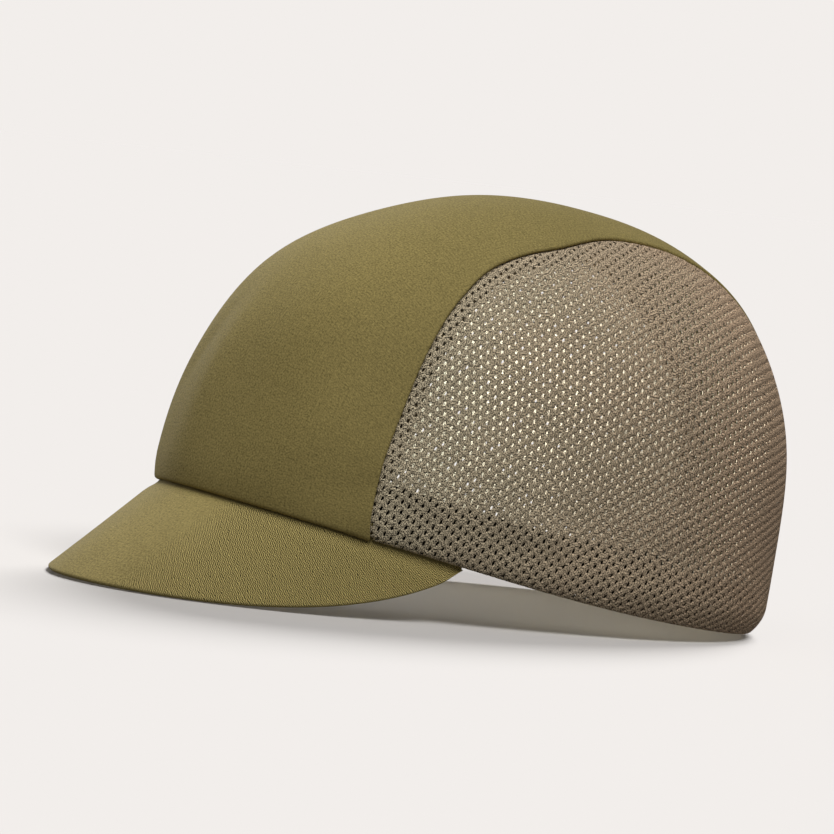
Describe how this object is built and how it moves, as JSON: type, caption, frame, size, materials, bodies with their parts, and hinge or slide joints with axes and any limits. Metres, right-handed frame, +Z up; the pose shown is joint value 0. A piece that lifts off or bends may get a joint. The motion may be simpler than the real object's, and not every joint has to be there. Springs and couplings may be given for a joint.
{
  "type": "cycling cap",
  "caption": "Soft cycling cap with a cloth centre panel, mesh side panels and a short turned-down peak, standing by itself.",
  "frame": {"origin": "on the surface that the cap rests on, below the middle of its bounding box", "axes": "+Z up, the peak points towards -Y, the wearer's left is +X; the cap stands tipped back as it rests"},
  "size_m": [0.1554, 0.2298, 0.1266],
  "materials": {
    "panel_cloth": "fine plain weave, matt with a soft sheen, olive",
    "peak_cloth": "fine twill over a stiff sheet, matt, olive",
    "side_mesh": "knitted mesh with small oval holes, taupe",
    "band_cloth": "soft knitted band, matt, dark taupe"
  },
  "bodies": {
    "root": {"crown_panel": "panel_cloth", "side_panel_left": "side_mesh", "side_panel_right": "side_mesh", "peak": "peak_cloth", "hem_band": "band_cloth", "seam_edges_left": "side_mesh", "seam_edges_right": "side_mesh"}
  },
  "joints": []
}
